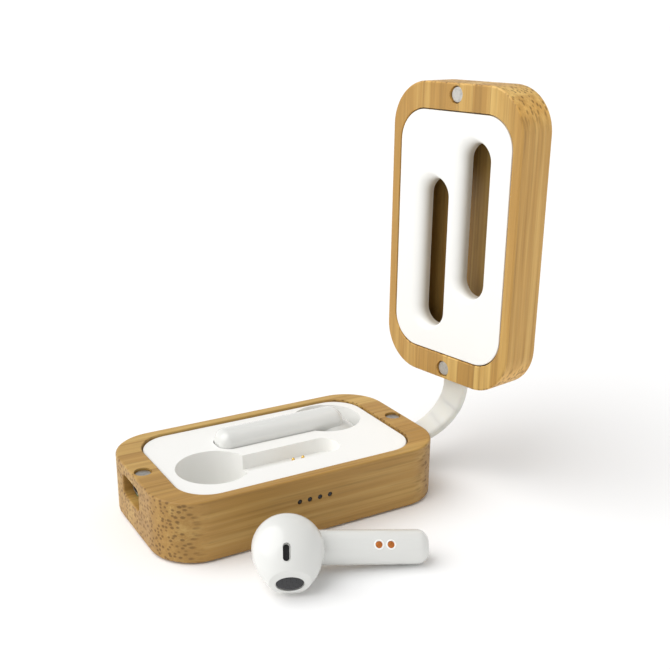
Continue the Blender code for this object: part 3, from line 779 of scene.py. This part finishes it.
class CASE_OT_lid(bpy.types.Operator):
    """Carves the wooden lid and its white insert with two stem slots."""

    bl_idname = "earbuds_case.lid"
    bl_label = "Lid"

    def execute(self, context):
        sizes = scene_sizes().case
        looks = scene_sizes().looks
        place = lid_place()
        inner = Vector((CASE_HALF.x - sizes.end_rim, CASE_HALF.y - sizes.side_rim, 0))
        wood = self.shell(sizes, inner)
        move_into(smooth(wood), place)
        # Extent of the hollow that gets painted shade.
        hollow = Vector((inner.x, inner.y, -INSERT_DEPTH))
        # Lid bamboo: its top and bottom ends 1.35 lighter and its sides 1.22 lighter as painted light, with
        # painted shade in the hollow behind the insert.
        bamboo_lid = bamboo("bamboo_lid", place, looks, 1.0, 0.3135135, 1.35, 1.22, hollow)
        finish_piece(wood, bamboo_lid, "lid", "lid_shell")
        insert = self.insert(sizes, inner)
        move_into(smooth(insert), place)
        # Painted shade down the slot throats: from 0.3 mm to 3.2 mm under the face, towards grey beige.
        painted_throat_shade = (-0.3 * MM, -3.2 * MM, (0.50, 0.45, 0.36))
        # Painted shade: the lid insert's white is 0.94 of the tray's same white.
        insert_white = moulded("insert_white", [c * 0.94 for c in looks.insert], 0.44, 0.10, place, painted_throat_shade)
        finish_piece(insert, insert_white, "lid", "lid_plate")
        return {"FINISHED"}

    def shell(self, sizes, inner):
        """The wooden lid with its hollow, magnet seats and strap slot."""
        half = CASE_HALF
        wood = block("lid_wood", (-half.x, -half.y, -LID_THICK), (half.x, half.y, 0), sizes.corner,
                     top=sizes.soft_edge, bottom=FOOT_EDGE, segments=22)
        boolean(wood, block("room", (-inner.x, -inner.y, sizes.floor - LID_THICK), (inner.x, inner.y, 2 * MM),
                            sizes.room_corner, segments=18))
        for side in (-1, 1):
            magnet_seat(wood, side * MAGNET_AT, 0, -2.4 * MM, 2 * MM)
        strap_exit(wood, Vector((-half.x, 0, -LID_THICK / 2)))
        soften_rim(wood, inner, -NEAR)
        return wood

    def insert(self, sizes, inner):
        """The white insert, parted across its slots so that their edges can be rounded wide."""
        gap = 0.3 * MM
        insert = block("lid_insert", (gap - inner.x, gap - inner.y, -INSERT_DEPTH),
                       (inner.x - gap, inner.y - gap, -0.1 * MM),
                       sizes.room_corner - gap, top=0.25 * MM, segments=18, soft=3)
        hold(insert)
        bpy.ops.object.mode_set(mode="EDIT")
        bpy.ops.mesh.select_all(action="SELECT")
        bpy.ops.mesh.bisect(plane_co=(0, 0, 0), plane_no=(1, 0, 0))
        bpy.ops.object.mode_set(mode="OBJECT")
        for side in (1, -1):
            ends = sorted(-side * end for end in SLOT_ENDS)
            axis_y = side * STEM_AXIS
            boolean(insert, block("slot", (ends[0], axis_y - SLOT_FRONT, -8 * MM),
                                  (ends[1], axis_y + SLOT_BACK, 2 * MM), SLOT_CORNER, segments=20))
        self.flare(insert, sizes.slot_lip)
        return insert

    def flare(self, insert, widest):
        """Rounds the slots' edges, widely on the back side and barely on the front side."""
        hold(insert)
        weights = insert.data.attributes.new("bevel_weight_edge", "FLOAT", "EDGE")
        points = insert.data.vertices
        for edge in insert.data.edges:
            a, b = (points[index].co for index in edge.vertices)
            outer = max(abs(a.x), abs(b.x)) > 28 * MM or max(abs(a.y), abs(b.y)) > 13 * MM
            if outer or min(a.z, b.z) < -0.1 * MM - NEAR:
                continue
            middle = (a.y + b.y) / 2
            axis_y = math.copysign(STEM_AXIS, middle)
            share = min(1.0, max(0.0, (middle - axis_y + SLOT_FRONT) / (SLOT_FRONT + SLOT_BACK)))
            weights.data[edge.index].value = 0.10 + 0.90 * share * share * (3 - 2 * share)
        stretch = 1.12
        insert.data.transform(Matrix.Diagonal((1, 1, stretch, 1)))
        step = insert.modifiers.new("flare", "BEVEL")
        step.limit_method = "WEIGHT"
        step.width = widest
        step.segments = 10
        step.use_clamp_overlap = False
        bpy.ops.object.modifier_apply(modifier=step.name)
        insert.data.transform(Matrix.Diagonal((1, 1, 1 / stretch, 1)))


class CASE_OT_magnets(bpy.types.Operator):
    """Turns one magnet and sets four of them in the rims."""

    bl_idname = "earbuds_case.magnets"
    bl_label = "Magnets"

    def execute(self, context):
        steel = plated("magnet_nickel", (0.60, 0.58, 0.54), 0.24)
        first = turned("magnet", in_mm((0, 1.85), (0.15, 2.0), (1.45, 2.0), (1.56, 1.92), (1.6, 1.80)), 48)
        smooth(first, 30)
        for body in ("base", "lid"):
            for end, side in (("left", -1), ("right", 1)):
                node = body + "_magnet_" + end
                low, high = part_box(node)
                place = Matrix.Translation(((low.x + high.x) / 2, (low.y + high.y) / 2, low.z))
                if body == "lid":
                    place = lid_place() @ Matrix.Translation((side * MAGNET_AT, 0, -2.1 * MM))
                piece = twin(first, node + "_disc")
                piece.data.transform(place)
                finish_piece(piece, steel, body, node)
        bpy.data.objects.remove(first, do_unlink=True)
        return {"FINISHED"}


class CASE_OT_contacts(bpy.types.Operator):
    """Turns the gold spring contacts of both wells."""

    bl_idname = "earbuds_case.contacts"
    bl_label = "Spring contacts"

    def execute(self, context):
        gold = plated("contact_gold", (0.95, 0.62, 0.18), 0.16, 1500.0)
        for tag in CONTACT_TAGS:
            low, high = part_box("contact_barrel_" + tag)
            middle = (low + high) / 2
            profile = [(low.z, 0.9 * MM), (low.z + 0.1 * MM, 1.0 * MM),
                       *below(high.z, (0.12, 1.0), (0, 0.92), (0, 0.72), (1.5, 0.70))]
            barrel = turned("barrel_" + tag, profile, 32)
            barrel.data.transform(Matrix.Translation((middle.x, middle.y, 0)))
            finish_piece(smooth(barrel, 30, False), gold, "base", "contact_barrel_" + tag)
            pin_low, pin_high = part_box("contact_pin_" + tag)
            tip = pin_high.z
            foot = pin_low.z
            profile = [(foot, 0.42 * MM), (foot + 0.05 * MM, 0.45 * MM),
                       *below(tip, (0.62, 0.45), (0.42, 0.43), (0.22, 0.37), (0.08, 0.26), (0, 0.12))]
            if tag.startswith("front"):
                profile[2:2] = below(tip, (1.90, 0.45), (1.86, 0.62), (1.45, 0.62), (1.36, 0.45))
            pin = turned("plunger_" + tag, profile, 28)
            pin.data.transform(Matrix.Translation((middle.x, middle.y, 0)))
            finish_piece(smooth(pin, 30, False), gold, "contact_pin_" + tag, "contact_pin_" + tag)
        return {"FINISHED"}


class CASE_OT_strap(bpy.types.Operator):
    """Runs the soft strap from the base to the lid in four pieces, each curved round one hinge point."""

    bl_idname = "earbuds_case.strap"
    bl_label = "Strap"

    def execute(self, context):
        sizes = scene_sizes().strap
        joints = {j["name"]: Vector(j["pos_m"]) for j in frame["joints"] if j["type"] == "hinge"}
        hinges = [joints["strap_hinge_" + str(n)] for n in range(1, 5)]
        out = Vector((1, 0, 0))
        up = Vector((0, 0, 1))
        lid_width = Vector((-math.sin(LID_YAW), math.cos(LID_YAW), 0))
        start = hinges[0] - out * STRAP_IN_BASE * MM
        end = hinges[3] + up * STRAP_IN_LID * MM
        points = [start, *hinges, end]
        widths = []
        for index in range(len(points) - 1):
            run = (points[index + 1] - points[index]).normalized()
            share = index / 4
            width = Vector((0, 1, 0)) * (1 - share) + lid_width * share
            widths.append((width - run * width.dot(run)).normalized())
        middles = [start] + [(a + b) / 2 for a, b in zip(hinges, hinges[1:])] + [end]
        skin = silicone("strap_silicone", scene_sizes().looks.strap)
        stands_for = [("strap_base_end",), ("strap_link_1",), ("strap_link_2",),
                      ("strap_link_3", "strap_lid_end")]
        for index in range(4):
            first, bend, last = middles[index], hinges[index], middles[index + 1]
            bent_first, bent_last = first, last
            if index == 0:
                bent_first = hinges[0] - out * (points[2] - points[1]).length / 2
            elif index == 3:
                bent_last = hinges[3] + up * (points[4] - points[3]).length / 2
            rings = self.curve(bent_first, bend, bent_last, widths[index], widths[index + 1], sizes)
            if index == 0:
                rings = self.straight(first, bent_first, widths[0], 6, sizes)[:-1] + rings
            elif index == 3:
                rings = rings + self.straight(bent_last, last, widths[4], 6, sizes)[1:]
            piece = self.band("strap_skin_" + str(index + 1), rings)
            piece.data.materials.append(skin)
            before = bend - (bend - first).normalized() * BLEND_REACH * MM
            after = bend + (last - bend).normalized() * BLEND_REACH * MM
            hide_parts(*stands_for[index])
            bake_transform(piece)
        return {"FINISHED"}

    def section(self, at, run, width, sizes):
        """A rounded, slightly crowned section across the band."""
        normal = run.cross(width).normalized()
        half = sizes.width / 2
        thick = sizes.thick / 2
        ring = []
        for k in range(40):
            angle = 2 * math.pi * (k + 0.5) / 40
            side = math.copysign(abs(math.cos(angle)) ** 0.28, math.cos(angle))
            lift = math.copysign(abs(math.sin(angle)) ** 0.62, math.sin(angle))
            ring.append(at + width * half * side + normal * thick * lift)
        return ring

    def straight(self, first, last, width, steps, sizes):
        """Sections along a straight run."""
        run = (last - first).normalized()
        return [self.section(first.lerp(last, k / steps), run, width, sizes) for k in range(steps + 1)]

    def curve(self, first, bend, last, width_a, width_b, sizes):
        """Sections along a bend that starts and ends on the way to its corner."""
        rings = []
        for k in range(sizes.steps + 1):
            t = k / sizes.steps
            at = first * (1 - t) ** 2 + bend * 2 * t * (1 - t) + last * t ** 2
            run = ((bend - first) * (1 - t) + (last - bend) * t).normalized()
            width = width_a.lerp(width_b, t)
            width = (width - run * width.dot(run)).normalized()
            rings.append(self.section(at, run, width, sizes))
        return rings

    def band(self, name, rings):
        """Closes the sections into one skin."""
        shape = bmesh.new()
        rows = [[shape.verts.new(point) for point in ring] for ring in rings]
        for low, high in zip(rows, rows[1:]):
            for i in range(len(low)):
                j = (i + 1) % len(low)
                shape.faces.new((low[i], low[j], high[j], high[i]))
        shape.faces.new(rows[0])
        shape.faces.new(rows[-1])
        bmesh.ops.recalc_face_normals(shape, faces=shape.faces)
        mesh = bpy.data.meshes.new(name)
        shape.to_mesh(mesh)
        shape.free()
        piece = bpy.data.objects.new(name, mesh)
        bpy.context.scene.collection.objects.link(piece)
        return smooth(piece, 40, False)


class CASE_OT_buds(bpy.types.Operator):
    """Models one earbud and sets it in the back well and, mirrored, in front of the case."""

    bl_idname = "earbuds_case.buds"
    bl_label = "Earbuds"

    def execute(self, context):
        sizes = scene_sizes().bud
        looks = scene_sizes().looks
        white = moulded("bud_white", looks.shell, 0.24, 0.05, Coat_Weight=0.35, Coat_Roughness=0.08)
        copper = plated("bud_copper", (0.80, 0.27, 0.07), 0.34, 1400.0)
        ring_white = moulded("contact_collar", [min(1.0, c * 1.25) for c in looks.shell], 0.35, 0.05)
        tilt = self.tilt_place(sizes)
        head = self.head(sizes)
        stem = self.stem(sizes)
        mesh_plate = self.mesh_plate(sizes, tilt)
        vent_plate = block("vent_plate", (6.6 * MM, 0.9 * MM, 9.6 * MM), (8.0 * MM, 4.5 * MM, 10.3 * MM),
                           0.66 * MM, segments=8)
        smooth(vent_plate, 30)
        contact = turned("contact", in_mm((2.6, 0.82), (3.36, 0.82), (3.46, 0.76), (3.52, 0.5),
                                          (3.54, 0.15)), 36)
        smooth(contact, 40, False)
        collar = turned("collar", in_mm((2.6, 1.22), (3.60, 1.22), (3.68, 1.12), (3.68, 0.96), (3.60, 0.86),
                                        (3.0, 0.84)), 36)
        smooth(collar, 40, False)
        for label, place in (("seated", seated_place()), ("loose", loose_place())):
            body = label + "_bud"
            grille_place = place @ tilt if label == "seated" else None
            grille_paint = perforated("outlet_mesh_" + label, grille_place, 0.00042,
                                      (0.004, 0.004, 0.004), (0.055, 0.055, 0.058))
            vent_paint = perforated("vent_mesh_" + label, None, 0.00040,
                                    (0.002, 0.002, 0.002), (0.02, 0.02, 0.02))
            for piece, paint, nodes in ((head, white, ("head_" + label,)), (stem, white, ("stem_" + label,)),
                                        (mesh_plate, grille_paint, ("grille_" + label,)),
                                        (vent_plate, vent_paint, ("vent_mesh_" + label,))):
                made = twin(piece, piece.name.split(".")[0] + "_" + label)
                move_into(made, place)
                finish_piece(made, paint, body, *nodes)
            for count, at in enumerate(BUD_CONTACTS_AT):
                tag = label + "_" + str(count + 1)
                for piece, paint, nodes in ((contact, copper, ("bud_contact_" + tag,)),
                                            (collar, ring_white, ())):
                    made = twin(piece, piece.name + "_" + tag)
                    move_into(made, place @ Matrix.Translation((at, 0, 0)))
                    finish_piece(made, paint, body, *nodes)
        for piece in (head, stem, mesh_plate, vent_plate, contact, collar):
            bpy.data.objects.remove(piece, do_unlink=True)
        return {"FINISHED"}

    def mesh_plate(self, sizes, tilt):
        """The slightly crowned plate of mesh in the outlet."""
        plate = turned("mesh_plate", in_mm((-0.8, 3.1), (-0.25, 3.15), (0.0, 2.8), (0.15, 2.0),
                                           (0.22, 0.9)), 48)
        plate.data.transform(OUTLET_TURN)
        plate.data.transform(Matrix.Diagonal((1.0, 1.0, OUTLET_SQUASH, 1.0)))
        plate.data.transform(self.slant_place(sizes))
        plate.data.transform(tilt)
        return smooth(plate, 30)

    def tilt_place(self, sizes):
        """Leans the outlet about the head's middle."""
        centre = Vector((8.4, 1.2, 5.6)) * MM
        return Matrix.Translation(centre) @ Matrix.Rotation(sizes.tilt, 4, "X")

    def slant_place(self, sizes):
        """Where the slanted outlet is cut."""
        return Matrix.Translation((0, 8.35 * MM, 0.5 * MM)) @ Matrix.Rotation(sizes.outlet_slant, 4, "X")

    def head(self, sizes):
        """A flattened ball drawn out to the sound outlet, with its mesh seat and vent."""
        radius = sizes.head_radius
        profile = []
        for angle in (3, 8, 14, 21, 28, 36, 44, 52, 60, 68, 76, 84, 92, 100, 107, 113):
            turn = math.radians(angle)
            profile.append((-radius * math.cos(turn), radius * math.sin(turn) ** 0.96))
        last_height, last_radius = profile[-1]
        nozzle = ((0.14, 0.885), (0.28, 0.845), (0.42, 0.79), (0.56, 0.725), (0.68, 0.655), (0.78, 0.59),
                  (0.86, 0.535), (0.92, 0.50), (0.96, 0.475), (0.985, 0.455), (1.0, 0.43))
        for share, width in nozzle:
            profile.append((last_height + (9.5 * MM - last_height) * share, radius * width))
        head = turned("head", profile, 72)
        head.data.transform(OUTLET_TURN)
        depth = sizes.head_depth / 2 / radius
        head.data.transform(Matrix.Diagonal((1, 1, depth, 1)))
        slant = self.slant_place(sizes)
        cutter = block("cutter", (-9 * MM, 0, -9 * MM), (9 * MM, 9 * MM, 9 * MM), 0)
        cutter.data.transform(slant)
        boolean(head, cutter)
        back = slant.inverted()
        round_edges(head, lambda a, b: abs((back @ a).y) < NEAR and abs((back @ b).y) < NEAR, 0.3 * MM, 3)
        seat = turned("seat", in_mm((-0.35, 3.3), (3, 3.3)), 56)
        seat.data.transform(OUTLET_TURN)
        seat.data.transform(Matrix.Diagonal((1, 1, OUTLET_SQUASH, 1)))
        seat.data.transform(slant)
        boolean(head, seat)
        head.data.transform(self.tilt_place(sizes))
        boolean(head, block("vent", (6.4 * MM, 0.6 * MM, 10.2 * MM), (8.2 * MM, 4.8 * MM, 13 * MM),
                            0.88 * MM, segments=8))
        return smooth(head, 42, False)

    def stem(self, sizes):
        """A rounded bar with soft ends and two contact seats."""
        low = Vector((sizes.stem_start, -4.1 * MM, -3.6 * MM))
        high = Vector((sizes.length, 4.1 * MM, 3.6 * MM))
        stem = block("stem", low, high, 3.3 * MM, axis=0, top=2.9 * MM, bottom=2.7 * MM, segments=12, soft=9)
        for at in BUD_CONTACTS_AT:
            hole = turned("hole", in_mm((3.0, 1.22), (5, 1.22)), 32)
            hole.data.transform(Matrix.Translation((at, 0, 0)))
            boolean(stem, hole)
        return smooth(stem, 40)


class CASE_OT_inside(bpy.types.Operator):
    """Finishes the pieces that stay as they are: port, boards, cells, holders, speakers, chips and sensors.
    """

    bl_idname = "earbuds_case.inside"
    bl_label = "Inner pieces"

    def execute(self, context):
        finishes = {
            "port_shell": plated("port_steel", (0.45, 0.44, 0.42), 0.3),
            "port_tongue": moulded("port_black", (0.015, 0.015, 0.015), 0.5),
            "board": circuit("board_green"),
            "battery": moulded("cell_foil", (0.35, 0.37, 0.40), 0.35, 0.2),
            "block": moulded("holder_black", (0.02, 0.02, 0.022), 0.5),
            "speaker": plated("speaker_steel", (0.50, 0.50, 0.52), 0.35),
            "bud_cell": plated("bud_cell_steel", (0.55, 0.55, 0.56), 0.28),
            "chip": moulded("chip_black", (0.02, 0.02, 0.022), 0.4),
            "sensor": moulded("sensor_black", (0.025, 0.025, 0.027), 0.4),
        }
        for name, node in frame["nodes"].items():
            if node.hide_render:
                continue
            found = [finish for key, finish in finishes.items() if key in name]
            if not found:
                raise RuntimeError("no finish for " + name)
            node.data.materials.clear()
            node.data.materials.append(found[0])
        return {"FINISHED"}


class CASE_OT_stage(bpy.types.Operator):
    """Lays the pale floor and sets the soft lights and the camera."""

    bl_idname = "earbuds_case.stage"
    bl_label = "Stage"

    def execute(self, context):
        looks = scene_sizes().stage
        let_go()
        bpy.ops.mesh.primitive_plane_add(size=40.0, location=(0, 0, CAD_LOW.z))
        floor = settle(bpy.context.object, "floor")
        paint = Paint("floor_paper", Roughness=0.8)
        cloud = paint.noise(paint.spot(), 6.0, 2.0)
        paint.set("Base Color", paint.mix(cloud * 0.4, (0.99, 0.99, 0.99), (0.97, 0.97, 0.97)))
        floor.data.materials.append(paint.material)

        world = bpy.data.worlds.new("surround")
        bpy.context.scene.world = world
        world.use_nodes = True
        tree = world.node_tree
        place = tree.nodes.new("ShaderNodeTexCoord")
        parts = tree.nodes.new("ShaderNodeSeparateXYZ")
        fade = tree.nodes.new("ShaderNodeMapRange")
        tree.links.new(place.outputs["Generated"], parts.inputs[0])
        tree.links.new(parts.outputs["Z"], fade.inputs["Value"])
        for name, value in (("From Min", 0.06), ("From Max", 0.45),
                            ("To Min", looks.horizon), ("To Max", looks.sky)):
            fade.inputs[name].default_value = value
        back = tree.nodes["Background"]
        back.inputs["Color"].default_value = (1, 1, 1, 1)
        tree.links.new(fade.outputs["Result"], back.inputs["Strength"])

        lamp = bpy.data.lights.new("key", "SUN")
        lamp.energy = looks.key
        lamp.angle = math.radians(70)
        stand = bpy.data.objects.new("key", lamp)
        bpy.context.scene.collection.objects.link(stand)
        stand.rotation_euler = KEY_AIM.to_track_quat("-Z", "Y").to_euler()
        bpy.context.scene.view_settings.view_transform = "Standard"

        camera = bpy.data.objects.new("camera", bpy.data.cameras.new("camera"))
        bpy.context.scene.collection.objects.link(camera)
        above = CAMERA_RIGHT.cross(CAMERA_AHEAD)
        turn = Matrix((CAMERA_RIGHT, above, -CAMERA_AHEAD)).transposed().to_4x4()
        camera.matrix_world = Matrix.Translation(CAMERA_AT) @ turn
        camera.data.lens = looks.lens
        camera.data.sensor_width = 36.0
        camera.data.shift_y = looks.shift
        camera.data.clip_start = 0.01
        bpy.context.scene.camera = camera
        return {"FINISHED"}


class CASE_PT_panel(bpy.types.Panel):
    """Lists the build steps."""

    bl_idname = "CASE_PT_panel"
    bl_label = "Earbuds Case"
    bl_space_type = "VIEW_3D"
    bl_region_type = "UI"
    bl_category = "Earbuds Case"

    def draw(self, context):
        for step in STEPS:
            self.layout.operator(step.bl_idname)


class CaseSettings(bpy.types.PropertyGroup):
    """All settings of the case."""

    case: PointerProperty(type=CaseSizes, name="Case", description="Sizes of the case")
    bud: PointerProperty(type=BudSizes, name="Earbud", description="Sizes of an earbud")
    strap: PointerProperty(type=StrapSizes, name="Strap", description="Sizes of the strap")
    looks: PointerProperty(type=Looks, name="Looks", description="Colours")
    stage: PointerProperty(type=StageLooks, name="Stage", description="Lights and camera")


STEPS = (CASE_OT_base, CASE_OT_tray, CASE_OT_lid, CASE_OT_magnets, CASE_OT_contacts, CASE_OT_strap,
         CASE_OT_buds, CASE_OT_inside, CASE_OT_stage)
GROUPS = (CaseSizes, BudSizes, StrapSizes, Looks, StageLooks, CaseSettings)


def register():
    for group in GROUPS + STEPS + (CASE_PT_panel,):
        bpy.utils.register_class(group)
    bpy.types.Scene.earbuds_case = PointerProperty(type=CaseSettings, name="Earbuds case",
                                                   description="Settings")


def unregister():
    del bpy.types.Scene.earbuds_case
    for group in reversed(GROUPS + STEPS + (CASE_PT_panel,)):
        bpy.utils.unregister_class(group)


def main():
    register()
    bpy.ops.earbuds_case.base()
    bpy.ops.earbuds_case.tray()
    bpy.ops.earbuds_case.lid()
    bpy.ops.earbuds_case.magnets()
    bpy.ops.earbuds_case.contacts()
    bpy.ops.earbuds_case.strap()
    bpy.ops.earbuds_case.buds()
    bpy.ops.earbuds_case.inside()
    bpy.ops.earbuds_case.stage()


if __name__ == "__main__":
    main()
